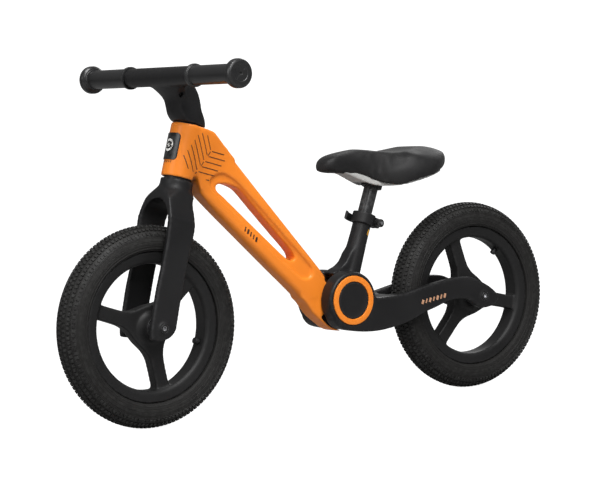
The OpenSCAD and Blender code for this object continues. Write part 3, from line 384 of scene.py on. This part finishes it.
# %% Cast from a CAD solid
def cast(node, name, material, voxel, passes, crease=60):
    bm = bmesh.new()
    bm.from_mesh(nodes[node].data)
    bmesh.ops.remove_doubles(bm, verts=bm.verts, dist=0.00002)
    rough = bpy.data.meshes.new(name + "_rough")
    bm.to_mesh(rough)
    bm.free()
    blank = bpy.data.objects.new(name + "_blank", rough)
    bpy.context.scene.collection.objects.link(blank)
    skin = blank.modifiers.new("skin", "REMESH")
    skin.mode = "VOXEL"
    skin.voxel_size = voxel
    mesh = baked_mesh(blank, name)
    bpy.data.objects.remove(blank)
    bm = bmesh.new()
    bm.from_mesh(mesh)
    for _ in range(passes):
        bmesh.ops.smooth_vert(bm, verts=bm.verts, factor=0.5, use_axis_x=True, use_axis_y=True, use_axis_z=True)
    bm.to_mesh(mesh)
    bm.free()
    return keep_mesh(mesh, name, material, node, crease=crease)


# %% The two frame halves
front_shell = cast("front_frame", "front_frame_casting", orange, 1.5 * MM, 9)
rear_shell = cast("rear_frame", "rear_frame_casting", black_moulding, 1.6 * MM, 10)

# %% Fork, stem, wheels and saddle base
cast("fork", "fork_casting", black_moulding, 1.5 * MM, 8)
cast("stem", "stem_casting", black_moulding, 1.3 * MM, 9)
cast("front_rim", "front_wheel_casting", wheel_moulding, 1.5 * MM, 5)
cast("rear_rim", "rear_wheel_casting", wheel_moulding, 1.5 * MM, 5)
cast("saddle_base", "saddle_base_shell", base_plastic, 1.6 * MM, 6)
cast("seat_clamp_collar", "clamp_collar_casting", black_moulding, 0.7 * MM, 4)
cast("clamp_lever", "clamp_lever_casting", black_moulding, 0.6 * MM, 4)
cast("saddle_bracket", "saddle_bracket_casting", black_moulding, 1.0 * MM, 4)


# %% [markdown]
# ## Spun pieces
# Anything turned or moulded round starts as a half section: a chain of points, each a distance along the axis and a
# radius. Spinning the chain once round makes the skin.

# %% Spin a section
def spin_section(bm, section, centre, axis, steps=96):
    """Adds a closed skin by spinning (along, radius) points round the axis through centre."""
    axis = Vector(axis).normalized()
    side = axis.orthogonal().normalized()
    chain = [bm.verts.new(centre + axis * along + side * radius) for along, radius in section]
    edges = [bm.edges.new((chain[i], chain[(i + 1) % len(chain)])) for i in range(len(chain))]
    bmesh.ops.spin(bm, geom=chain + edges, cent=centre, axis=axis, angle=math.tau, steps=steps, use_merge=True)


def rounded(section, ease, segments=4):
    """The same closed section with every corner replaced by a short arc."""
    out = []
    count = len(section)
    for i in range(count):
        here, before, after = Vector(section[i]), Vector(section[i - 1]), Vector(section[(i + 1) % count])
        back, ahead = before - here, after - here
        cut = min(ease, back.length * 0.45, ahead.length * 0.45)
        start, end = here + back.normalized() * cut, here + ahead.normalized() * cut
        for k in range(segments + 1):
            t = k / segments
            out.append(tuple(start * (1 - t) ** 2 + here * 2 * t * (1 - t) + end * t * t))
    return out


# %% [markdown]
# ## Tyres
# A 12-inch air tyre: smooth sidewalls with fine moulded rings and a crown covered with rows of small blocks. The
# carcass is spun. One block is made per row and spun round as separate copies, with every other row shifted by half a
# pitch.

# %% Tyre carcass
BLOCKS_ROUND = 132
ROW_ANGLES = (-58, -39, -20, 0, 20, 39, 58)


def tyre_section(reach, half):
    centre = reach - 1.8 * MM - half
    wall = half - 0.1 * MM
    rings = [(121, 0), (114, 0), (113, 0.5), (110, 0.5), (109, 0), (101, 0), (100, -0.35), (98, -0.35), (97, 0),
             (89, 0), (88, -0.35), (86.5, -0.35), (85.5, 0), (76, 0), (75, -0.4), (73, -0.4), (72, 0), (68, 0),
             (67, 0.7), (49, 0.7), (48, 0)]
    outer = []
    for turn, lift in rings:
        lift = min(lift, 0.1) if 80 < turn < 100 else lift
        outer.append((math.radians(turn), wall + lift * MM))
    crown = [(math.radians(a), wall) for a in range(44, -45, -4)]
    arc = outer + crown + [(-a, r) for a, r in reversed(outer)]
    section = [(r * math.sin(a), centre + r * math.cos(a)) for a, r in arc]
    toe = centre + wall * math.cos(arc[0][0])
    bead = [(-13 * MM, toe - 1 * MM), (-12 * MM, toe - 5 * MM), (12 * MM, toe - 5 * MM), (13 * MM, toe - 1 * MM)]
    return section + bead


def tread_block(bm, axle, reach, half, row, shift):
    """One tapered block, then its copies all the way round."""
    centre = reach - 1.8 * MM - half
    turn = math.radians(row)
    lift = half + (1.75 if abs(row) < 50 else 1.55) * MM
    out = Vector((0, math.sin(turn), math.cos(turn)))
    along = Vector((1, 0, 0))
    across = out.cross(along)
    seat = axle + Vector((0, 0, centre)) + out * (lift - 1.1 * MM)
    size = Vector((4.7, 5.0 if row else 5.8, 2.2)) * MM
    place = Matrix.Translation(seat) @ Matrix((along, across, out)).transposed().to_4x4() @ Matrix.Diagonal((*size, 1))
    made = bmesh.ops.create_cube(bm, size=1, matrix=place)
    top = [v for v in made["verts"] if (v.co - seat).dot(out) > 0]
    bmesh.ops.scale(bm, verts=top, vec=(0.8, 0.8, 0.8), space=Matrix.Translation(-(seat + out * size.z / 2)))
    pitch = math.tau / BLOCKS_ROUND
    bmesh.ops.rotate(bm, verts=made["verts"], cent=axle, matrix=Matrix.Rotation(shift * pitch, 3, "Y"))
    faces = list({f for v in made["verts"] for f in v.link_faces})
    edges = list({e for f in faces for e in f.edges})
    bmesh.ops.spin(bm, geom=made["verts"] + edges + faces, cent=axle, axis=(0, 1, 0), angle=math.tau - pitch,
                   steps=BLOCKS_ROUND - 1, use_duplicate=True)


def make_tyre(node, name, axle):
    low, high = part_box(node)
    reach, half = (high.z - low.z) / 2, (high.y - low.y) / 2
    bm = bmesh.new()
    spin_section(bm, tyre_section(reach, half), axle, (0, 1, 0), steps=180)
    for number, row in enumerate(ROW_ANGLES):
        tread_block(bm, axle, reach, half, row, 0.5 * (number % 2))
    return keep(bm, name, tyre_rubber, node, crease=28)


make_tyre("front_tyre", "front_tyre_tread", front_axle)
make_tyre("rear_tyre", "rear_tyre_tread", rear_axle)

# %% [markdown]
# ## Grips
# A soft sleeve with a thin flange towards the middle of the bar and a round knob at the end. The knob keeps a child's
# hand from sliding off. The sleeve itself is smooth and satin, with a fine grain.

# %% Grips
def make_grip(node, name, side):
    low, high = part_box(node)
    inner, outer = (low.y, high.y) if side > 0 else (-high.y, -low.y)
    knob = (high.z - low.z) / 2
    sleeve = 14.2 * MM
    flange = 17.0 * MM
    knob_start = outer - 14 * MM
    points = [(inner, 11.2 * MM), (inner, flange), (inner + 4.6 * MM, flange), (inner + 5.2 * MM, sleeve + 0.6 * MM),
              (inner + 8 * MM, sleeve)]
    points += [(knob_start - 3 * MM, sleeve), (knob_start, sleeve + 1.2 * MM), (knob_start + 0.5 * MM, knob - 3 * MM),
               (knob_start + 3 * MM, knob), (outer - 3.5 * MM, knob), (outer - 1.2 * MM, knob - 1.4 * MM),
               (outer - 0.1 * MM, knob - 4 * MM), (outer - 0.1 * MM, 12 * MM), (outer - 0.7 * MM, 11.4 * MM),
               (outer - 0.7 * MM, 2.4 * MM), (outer - 2.5 * MM, 1.9 * MM), (outer - 2.5 * MM, 0.0),
               (outer - 6 * MM, 0.0), (outer - 6 * MM, 11.2 * MM)]
    section = rounded(points, 0.5 * MM, 3)
    bm = bmesh.new()
    spin_section(bm, section, Vector((bar.x, 0, bar.z)), (0, side, 0), steps=72)
    bmesh.ops.dissolve_degenerate(bm, edges=bm.edges, dist=0.000001)
    return keep(bm, name, grip_rubber, node, crease=30)


make_grip("grip_left", "left_grip_sleeve", 1)
make_grip("grip_right", "right_grip_sleeve", -1)

# %% [markdown]
# ## Fold hub trim
# Each side of the drum has an orange trim ring round a broad black push button. The button's face is slightly dished
# so that a thumb finds it.

# %% Rings and buttons
def make_hub_side(side, word):
    low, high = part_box("hub_ring_" + word)
    face = max(abs(low.y), abs(high.y))
    ring = (high.x - low.x) / 2
    base = face - (high.y - low.y)
    low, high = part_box("fold_button_" + word)
    button = (high.x - low.x) / 2
    button_face = max(abs(low.y), abs(high.y))
    bm = bmesh.new()
    spin_section(bm, rounded([(base, button + 0.3 * MM), (face, button + 0.3 * MM), (face, ring), (base, ring)],
                             1.0 * MM, 4), hub, (0, side, 0), steps=96)
    keep(bm, word + "_hub_ring", orange, "hub_ring_" + word)
    bm = bmesh.new()
    deep = button_face - 4.0 * MM
    section = [(deep, 0.0), (deep, button - 0.8 * MM), (deep + 0.8 * MM, button)] + [
        (button_face - 1.4 * MM, button), (button_face - 0.4 * MM, button - 0.9 * MM),
        (button_face - 0.1 * MM, button - 2.2 * MM), (button_face - 0.2 * MM, button - 3.2 * MM),
        (button_face - 0.9 * MM, button - 4.4 * MM), (button_face - 1.2 * MM, button * 0.5),
        (button_face - 1.3 * MM, 0.0)]
    spin_section(bm, section, hub, (0, side, 0), steps=96)
    keep(bm, word + "_fold_button_cap", black_moulding, "fold_button_" + word)


make_hub_side(1, "left")
make_hub_side(-1, "right")


# %% [markdown]
# ## Saddle pad
# The pad is foam under a tight cover. A merged copy of the plain CAD pad is rebuilt as an even skin, drawn in a little,
# and swelled with cloth pressure, so that its sides crown and its corners soften. How far a point may move is capped,
# so the pad keeps its measured outline.

# %% Swell the pad
SADDLE_VOXEL = 4.0 * MM
PAD_LIMIT = 6.0 * MM


def make_saddle_pad():
    bm = bmesh.new()
    bm.from_mesh(nodes["saddle_pad"].data)
    bmesh.ops.remove_doubles(bm, verts=bm.verts, dist=0.00002)
    rough = bpy.data.meshes.new("pad_rough")
    bm.to_mesh(rough)
    bm.free()
    blank = bpy.data.objects.new("pad_blank", rough)
    bpy.context.scene.collection.objects.link(blank)
    skin = blank.modifiers.new("skin", "REMESH")
    skin.mode = "VOXEL"
    skin.voxel_size = SADDLE_VOXEL
    mesh = baked_mesh(blank, "pad_skin")
    bpy.data.objects.remove(blank)
    bm = bmesh.new()
    bm.from_mesh(mesh)
    low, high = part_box("saddle_pad")
    for _ in range(14):
        bmesh.ops.smooth_vert(bm, verts=bm.verts, factor=0.5, use_axis_x=True, use_axis_y=True, use_axis_z=True)
    for axis in range(3):
        ends = [v.co[axis] for v in bm.verts]
        stretch = (high[axis] - low[axis] - 3 * MM) / (max(ends) - min(ends))
        centre = (high[axis] + low[axis]) / 2
        shrunk = (max(ends) + min(ends)) / 2
        for v in bm.verts:
            v.co[axis] = centre + (v.co[axis] - shrunk) * stretch
    bm.normal_update()
    bm.to_mesh(mesh)
    rest = [v.co.copy() for v in bm.verts]
    bm.free()
    pad = bpy.data.objects.new("pad_cloth", mesh)
    bpy.context.scene.collection.objects.link(pad)
    cloth = pad.modifiers.new("cloth", "CLOTH")
    cloth.settings.use_pressure = True
    cloth.settings.uniform_pressure_force = 4.0
    cloth.settings.effector_weights.gravity = 0.0
    scene = bpy.context.scene
    for step in range(1, 21):
        scene.frame_set(step)
    swollen = baked_mesh(pad, "pad_swollen")
    for vertex, start in zip(swollen.vertices, rest):
        moved = vertex.co - start
        if moved.length > PAD_LIMIT:
            moved = moved.normalized() * PAD_LIMIT
        vertex.co = start + moved
    bpy.data.objects.remove(pad)
    scene.frame_set(1)
    mesh = swollen
    bm = bmesh.new()
    bm.from_mesh(mesh)
    for _ in range(3):
        bmesh.ops.smooth_vert(bm, verts=bm.verts, factor=0.5, use_axis_x=True, use_axis_y=True, use_axis_z=True)
    for v in bm.verts:
        v.co = Vector([min(max(v.co[axis], low[axis]), high[axis]) for axis in range(3)])
    bm.to_mesh(mesh)
    bm.free()
    pad = keep_mesh(mesh, "saddle_pad_cover", saddle_cover, "saddle_pad", crease=180)
    soft = pad.modifiers.new("soften", "SUBSURF")
    soft.levels = 1
    soft.render_levels = 1
    return pad


saddle_pad = make_saddle_pad()

# %% [markdown]
# ## Finishes for the CAD nodes that stay
# Axles, bearings, bolts and the seat post already have the right shape, so they only get a finish.

# %% Dress the CAD nodes
finish_of_slot = {
    "black_moulding": black_moulding, "orange_moulding": orange, "tyre": tyre_rubber, "tube_rubber": grip_rubber,
    "grip_rubber": grip_rubber, "steel": steel, "bright_steel": bright_steel, "black_aluminium": black_tube,
    "silver_aluminium": silver_tube, "bush_plastic": bush_plastic, "base_plastic": base_plastic,
    "saddle_cover": saddle_cover, "badge_plastic": badge_black}
for node_name, piece in nodes.items():
    for material_slot in piece.material_slots:
        material_slot.material = finish_of_slot[slot_of_node[node_name]]
for seal_node in ("headset_bearing_lower", "headset_bearing_upper", "crown_race", "seat_clamp_nut", "stem_bolt"):
    for material_slot in nodes[seal_node].material_slots:
        material_slot.material = seal_rubber
print("dressed", len(nodes), "CAD nodes")

# %% [markdown]
# ## Axle bolt caps
# Each axle bolt head is covered by a small black cup, with only the bright socket of the bolt showing in the middle.

# %% Bolt caps
def make_bolt_cap(node, word, axle, side, body):
    low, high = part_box(node)
    face = high.y if side > 0 else -low.y
    reach = (high.z - low.z) / 2
    section = [(face - 2.4 * MM, 3.4 * MM), (face + 0.15 * MM, 3.4 * MM), (face + 0.5 * MM, 4.2 * MM),
               (face + 0.5 * MM, reach - 0.6 * MM), (face - 0.2 * MM, reach + 0.15 * MM),
               (face - 2.4 * MM, reach + 0.15 * MM)]
    bm = bmesh.new()
    spin_section(bm, rounded(section, 0.2 * MM, 3), axle, (0, side, 0), steps=48)
    return keep(bm, word + "_bolt_cap", black_moulding, node, body=body, replace=False)


for side, word in ((1, "left"), (-1, "right")):
    make_bolt_cap("front_axle_bolts", "front_" + word, front_axle, side, "steering")
    make_bolt_cap("rear_axle_bolts", "rear_" + word, rear_axle, side, "rear_frame")


# %% [markdown]
# ## Printed marks
# The frame carries plain chevrons by the head tube, short slanted bars along the beam and the rear arm, a yellow patch
# on the seat tube and a pale ring on the head badge. None of them spell anything. Each is a thin film, laid on the
# casting by projecting it along one axis and given a little thickness.

# %% Lay a film on a casting
def lay_film(name, outlines, target, material, look, start=0.08, lift=0.18 * MM):
    """outlines are lists of corners as seen along look, which is +Y, -Y or +X. They are cut small, then projected."""
    bm = bmesh.new()
    for outline in outlines:
        if look.x:
            corners = [bm.verts.new((start, a, b)) for a, b in outline]
        else:
            corners = [bm.verts.new((a, look.y * start, b)) for a, b in outline]
        bm.faces.new(corners)
    for _ in range(2):
        long_edges = [e for e in bm.edges if e.calc_length() > 3 * MM]
        bmesh.ops.subdivide_edges(bm, edges=long_edges, cuts=2, use_grid_fill=True)
    mesh = bpy.data.meshes.new(name)
    bm.to_mesh(mesh)
    bm.free()
    film = bpy.data.objects.new(name + "_flat", mesh)
    bpy.context.scene.collection.objects.link(film)
    drop = film.modifiers.new("drop", "SHRINKWRAP")
    drop.wrap_method = "PROJECT"
    drop.use_project_x = bool(look.x)
    drop.use_project_y = not look.x
    drop.use_project_z = False
    drop.use_negative_direction = look.x + look.y > 0
    drop.use_positive_direction = look.x + look.y < 0
    drop.target = target
    drop.offset = lift
    laid = baked_mesh(film, name)
    bpy.data.objects.remove(film)
    bm = bmesh.new()
    bm.from_mesh(laid)
    stray = [v for v in bm.verts if v.co.dot(look) > start - 0.002]
    bmesh.ops.delete(bm, geom=stray, context="VERTS")
    bmesh.ops.recalc_face_normals(bm, faces=bm.faces)
    bmesh.ops.solidify(bm, geom=bm.faces[:], thickness=0.1 * MM)
    return keep(bm, name, material, body=target.parent.name.replace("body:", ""), replace=False)


def stroke(start, end, width):
    """A straight bar from start to end, as four corners."""
    start, end = Vector(start), Vector(end)
    across = (end - start).normalized().orthogonal() * width / 2
    return [tuple(p) for p in (start - across, end - across, end + across, start + across)]


def on_beam(u, v):
    place = hub + beam_dir * (u * MM) + beam_up * (v * MM)
    return (place.x, place.z)


# %% Chevrons by the head tube and bars along the beam
PATCH = [(384, 16), (379, -4), (356, -25), (308, -13), (294, 22), (318, 40), (362, 36)]


def inside_patch(point):
    u, v = point
    inside = False
    for (u0, v0), (u1, v1) in zip(PATCH, PATCH[1:] + PATCH[:1]):
        if (v0 > v) != (v1 > v) and u < u0 + (v - v0) * (u1 - u0) / (v1 - v0):
            inside = not inside
    return inside


def clipped(start, end, width):
    """The longest part of a stroke that lies inside the patch, or nothing."""
    points = [Vector(start).lerp(Vector(end), i / 24) for i in range(25)]
    kept = [p for p in points if inside_patch(p)]
    if len(kept) < 6:
        return []
    return [stroke(on_beam(*kept[0]), on_beam(*kept[-1]), width)]


def chevrons():
    lines = []
    for step in range(7):
        apex = Vector((334, -34 + 9.5 * step))
        lines += clipped(apex + Vector((-2, 1)), apex + Vector((-30, 15)), 1.25 * MM)
        lines += clipped(apex + Vector((2, 1)), apex + Vector((34, 22)), 1.25 * MM)
    for step in range(3):
        lines += clipped((334, -24 + 19 * step), (334, -16 + 19 * step), 1.25 * MM)
    return lines


def beam_bars():
    row = []
    for i, width in enumerate((3.6, 2.2, 2.2, 3.6, 2.2)):
        u = 184 + 6.4 * i
        row.append(stroke(on_beam(u, -30), on_beam(u + 3, -23.5), width * MM))
    return row


seat_joint = next(j for j in frame["record"]["behaviour"]["joints"] if j["name"] == "seat_height")
seat_axis = Vector(seat_joint["axis"]).normalized()
seat_side = Vector((seat_axis.z, 0, -seat_axis.x))
seat_top = middle("seat_post")
seat_top = seat_top + seat_axis * ((middle("seat_clamp_collar").z - seat_top.z) / seat_axis.z)


def on_seat_tube(forward, along):
    place = seat_top + seat_side * (forward * MM) + seat_axis * (along * MM)
    return (place.x, place.z)


def arm_bars():
    row = []
    for i, width in enumerate((4.2, 2.6, 4.2, 2.6, 4.2, 2.6, 4.2)):
        x, z = -0.176 - 0.0074 * i, 0.1455 + 0.0011 * i
        row.append(stroke((x, z), (x - 2.4 * MM, z + 6.5 * MM), width * MM))
    return row


for side, word in ((1, "left"), (-1, "right")):
    look = Vector((0, side, 0))
    lay_film(word + "_beam_chevrons", chevrons(), front_shell, dark_ink, look)
    lay_film(word + "_beam_bars", beam_bars(), front_shell, dark_ink, look)
    lay_film(word + "_arm_bars", arm_bars(), rear_shell, pale_ink, look)
patch = [on_seat_tube(-12.4, -14), on_seat_tube(-4.5, -14), on_seat_tube(-4.5, -23), on_seat_tube(-12.4, -23)]
dot = [on_seat_tube(-11, -36), on_seat_tube(-8, -36), on_seat_tube(-8, -39), on_seat_tube(-11, -39)]
lay_film("seat_tube_patch", [patch], rear_shell, yellow_ink, Vector((0, 1, 0)))
lay_film("seat_tube_dot", [dot], rear_shell, white_ink, Vector((0, 1, 0)))


# %% Pale ring on the badge and bars under it
def badge_ring(radius, width, steps=28):
    low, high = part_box("head_badge")
    centre = (low + high) / 2 + Vector((0, 0, 2 * MM))
    turn = math.tau / steps
    ring = []
    for i in range(steps):
        corners = [(radius, i), (radius, i + 1), (radius - width, i + 1), (radius - width, i)]
        ring.append([(centre.y + r * math.sin(k * turn), centre.z + r * math.cos(k * turn)) for r, k in corners])
    return ring


def badge_bars():
    low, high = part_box("head_badge")
    z = low.z - 3.6 * MM
    return [stroke((y * MM, z), (y * MM + 1.2 * MM, z + 3 * MM), 1.3 * MM) for y in (-9, -5.5, -2, 1.5, 5, 8.5)]


lay_film("badge_ring", badge_ring(9 * MM, 3 * MM), nodes["head_badge"], white_ink, Vector((1, 0, 0)),
         start=0.36)
lay_film("badge_dot", badge_ring(3.4 * MM, 3.39 * MM), nodes["head_badge"], white_ink, Vector((1, 0, 0)),
         start=0.36)
lay_film("badge_underline", badge_bars(), front_shell, dark_ink, Vector((1, 0, 0)), start=0.36)

# %% [markdown]
# ## Studio
# A white floor and a white surround, as in a studio light tent. Camera rays see plain white behind the bike, while
# the bike itself is lit by a dimmer surround and four soft lamps, so that its blacks stay deep. The floor is grey
# paint that glows white to the camera only, so undersides stay dark and just faint shadows show under the tyres.
# Away from the tyres it is clear to the camera, because the front half swings below it when the bike is folded.

# %% Floor and lights
FLOOR_GLOW = 0.96
SKY_LIGHT = 0.24


def clear_away_from_tyres(tree, shader, rays):
    """The camera sees the floor only near the tyres. Folded parts that swing below it stay in view, and lit."""
    spot = tree.nodes.new("ShaderNodeNewGeometry").outputs["Position"]
    near = None
    for axle in (front_axle, rear_axle):
        away = tree.nodes.new("ShaderNodeVectorMath")
        away.operation = "DISTANCE"
        away.inputs[1].default_value = (axle.x, 0, 0)
        tree.links.new(spot, away.inputs[0])
        patch_mask = remap(tree, away.outputs["Value"], 0.07, 0.13, 1.0, 0.0)
        near = patch_mask if near is None else math_node(tree, "MAXIMUM", near, patch_mask)
    seen = math_node(tree, "MULTIPLY", rays.outputs["Is Camera Ray"], math_node(tree, "SUBTRACT", 1.0, near))
    clear = tree.nodes.new("ShaderNodeBsdfTransparent")
    mix = tree.nodes.new("ShaderNodeMixShader")
    tree.links.new(math_node(tree, "MAXIMUM", seen, rays.outputs["Is Shadow Ray"]), mix.inputs[0])
    tree.links.new(shader.outputs["BSDF"], mix.inputs[1])
    tree.links.new(clear.outputs["BSDF"], mix.inputs[2])
    tree.links.new(mix.outputs["Shader"], tree.nodes["Material Output"].inputs["Surface"])


def make_floor():
    bm = bmesh.new()
    bmesh.ops.create_grid(bm, x_segments=1, y_segments=1, size=40)
    bmesh.ops.translate(bm, verts=bm.verts, vec=(0, 0, -0.2 * MM))
    mesh = bpy.data.meshes.new("floor")
    bm.to_mesh(mesh)
    bm.free()
    floor = bpy.data.objects.new("floor", mesh)
    bpy.context.scene.collection.objects.link(floor)
    paint = bpy.data.materials.new("floor_paint")
    paint.use_nodes = True
    shader = paint.node_tree.nodes["Principled BSDF"]
    shader.inputs["Base Color"].default_value = (0.34, 0.34, 0.34, 1)
    shader.inputs["Roughness"].default_value = 0.9
    shader.inputs["Specular IOR Level"].default_value = 0.0
    shader.inputs["Emission Color"].default_value = (1, 1, 1, 1)
    glow = paint.node_tree.nodes.new("ShaderNodeLightPath")
    strength = math_node(paint.node_tree, "MULTIPLY", glow.outputs["Is Camera Ray"], FLOOR_GLOW)
    paint.node_tree.links.new(strength, shader.inputs["Emission Strength"])
    clear_away_from_tyres(paint.node_tree, shader, glow)
    mesh.materials.append(paint)
    return floor


def make_sky():
    world = bpy.data.worlds.new("sky")
    bpy.context.scene.world = world
    world.use_nodes = True
    tree = world.node_tree
    background = tree.nodes["Background"]
    background.inputs["Color"].default_value = (1, 1, 1, 1)
    rays = tree.nodes.new("ShaderNodeLightPath")
    tree.links.new(remap(tree, rays.outputs["Is Camera Ray"], 0.0, 1.0, SKY_LIGHT, 1.2), background.inputs["Strength"])


def soft_light(name, place, look_at, size, power):
    data = bpy.data.lights.new(name, "AREA")
    data.shape = "DISK"
    data.size = size
    data.energy = power
    light = bpy.data.objects.new(name, data)
    light.location = place
    light.rotation_euler = (Vector(look_at) - Vector(place)).to_track_quat("-Z", "Y").to_euler()
    bpy.context.scene.collection.objects.link(light)
    return light


make_floor()
make_sky()
soft_light("key", (1.2, 3.0, 2.6), (0, 0, 0.2), 1.6, 88)
soft_light("fill", (3.4, 0.4, 1.4), (0, 0, 0.25), 1.6, 30)
soft_light("rim", (-2.6, -1.6, 2.4), (0, 0, 0.3), 1.8, 46)
soft_light("top", (0.5, 1.2, 2.4), (0, 0, 0.3), 1.1, 52)
bpy.context.scene.view_settings.view_transform = "Standard"
